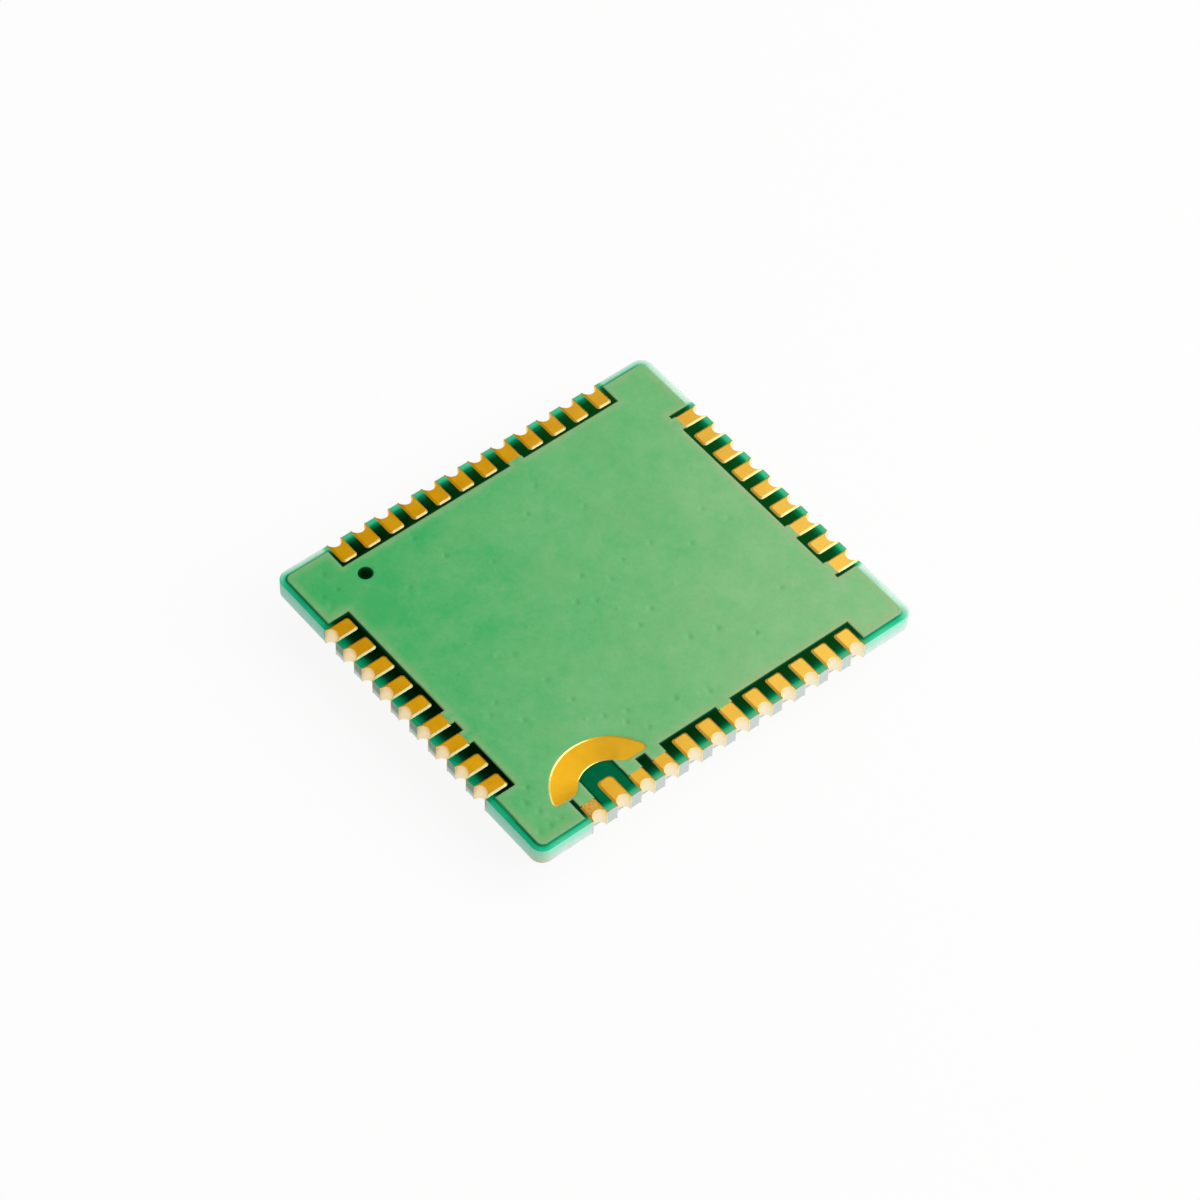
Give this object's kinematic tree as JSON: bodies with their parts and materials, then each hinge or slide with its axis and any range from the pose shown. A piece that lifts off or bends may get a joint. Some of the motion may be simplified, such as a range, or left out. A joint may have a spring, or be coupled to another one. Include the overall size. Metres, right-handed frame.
{
  "type": "gsm module",
  "caption": "Castellated surface-mount GSM radio module with gold edge contacts, a bare antenna test ring, green solder mask and a folded shield can on its component side.",
  "frame": {"origin": "centre of the lid of the shield can, on its outer face, where the module lies", "axes": "+Z out of the contact side, +X along the long edges, +Y towards the edge with the first contact"},
  "size_m": [0.0176, 0.0156, 0.0023],
  "materials": {
    "laminate": "cut glass-epoxy laminate, pale grey-green",
    "gold_plated_copper": "copper foil with a thin gold finish",
    "contact_gold": "plated copper with a thin gold finish, satin",
    "solder_mask": "green solder mask film, satin",
    "tinned_sheet": "tin-plated steel sheet, dull",
    "solder": "tin solder, satin",
    "mould_compound": "black moulding compound, dull",
    "filter_ceramic": "fired ceramic",
    "crystal_ceramic": "dark fired ceramic",
    "crystal_metal": "nickel alloy lid, satin",
    "capacitor_ceramic": "fired brown ceramic",
    "tin_terminal": "tin plating, satin",
    "resistor_glaze": "black glaze"
  },
  "bodies": {
    "root": {"board_laminate": "laminate", "ground_pour": "gold_plated_copper", "pad_side_mask": "solder_mask", "component_side_copper": "gold_plated_copper", "component_side_mask": "solder_mask", "shield_can": "tinned_sheet", "can_solder": "solder", "baseband_processor": "mould_compound", "processor_balls": "solder", "radio_front_end": "mould_compound", "receive_filter": "filter_ceramic", "crystal_base": "crystal_ceramic", "crystal_lid": "crystal_metal", "capacitor_bodies": "capacitor_ceramic", "capacitor_terminals": "tin_terminal", "resistor_bodies": "resistor_glaze", "resistor_terminals": "tin_terminal", "contact_01": "contact_gold", "contact_02": "contact_gold", "contact_03": "contact_gold", "contact_04": "contact_gold", "contact_05": "contact_gold", "contact_06": "contact_gold", "contact_07": "contact_gold", "contact_08": "contact_gold", "contact_09": "contact_gold", "contact_10": "contact_gold", "contact_11": "contact_gold", "contact_12": "contact_gold", "contact_13": "contact_gold", "contact_14": "contact_gold", "contact_15": "contact_gold", "contact_16": "contact_gold", "contact_17": "contact_gold", "contact_18": "contact_gold", "contact_19": "contact_gold", "contact_20": "contact_gold", "contact_21": "contact_gold", "contact_22": "contact_gold", "contact_23": "contact_gold", "contact_24": "contact_gold", "contact_25": "contact_gold", "contact_26": "contact_gold", "contact_27": "contact_gold", "contact_28": "contact_gold", "contact_29": "contact_gold", "contact_30": "contact_gold", "contact_31": "contact_gold", "contact_32": "contact_gold", "contact_33": "contact_gold", "contact_34": "contact_gold", "contact_35": "contact_gold", "contact_36": "contact_gold", "contact_37": "contact_gold", "contact_38": "contact_gold", "contact_39": "contact_gold", "contact_40": "contact_gold", "contact_41": "contact_gold", "contact_42": "contact_gold"}
  },
  "joints": []
}
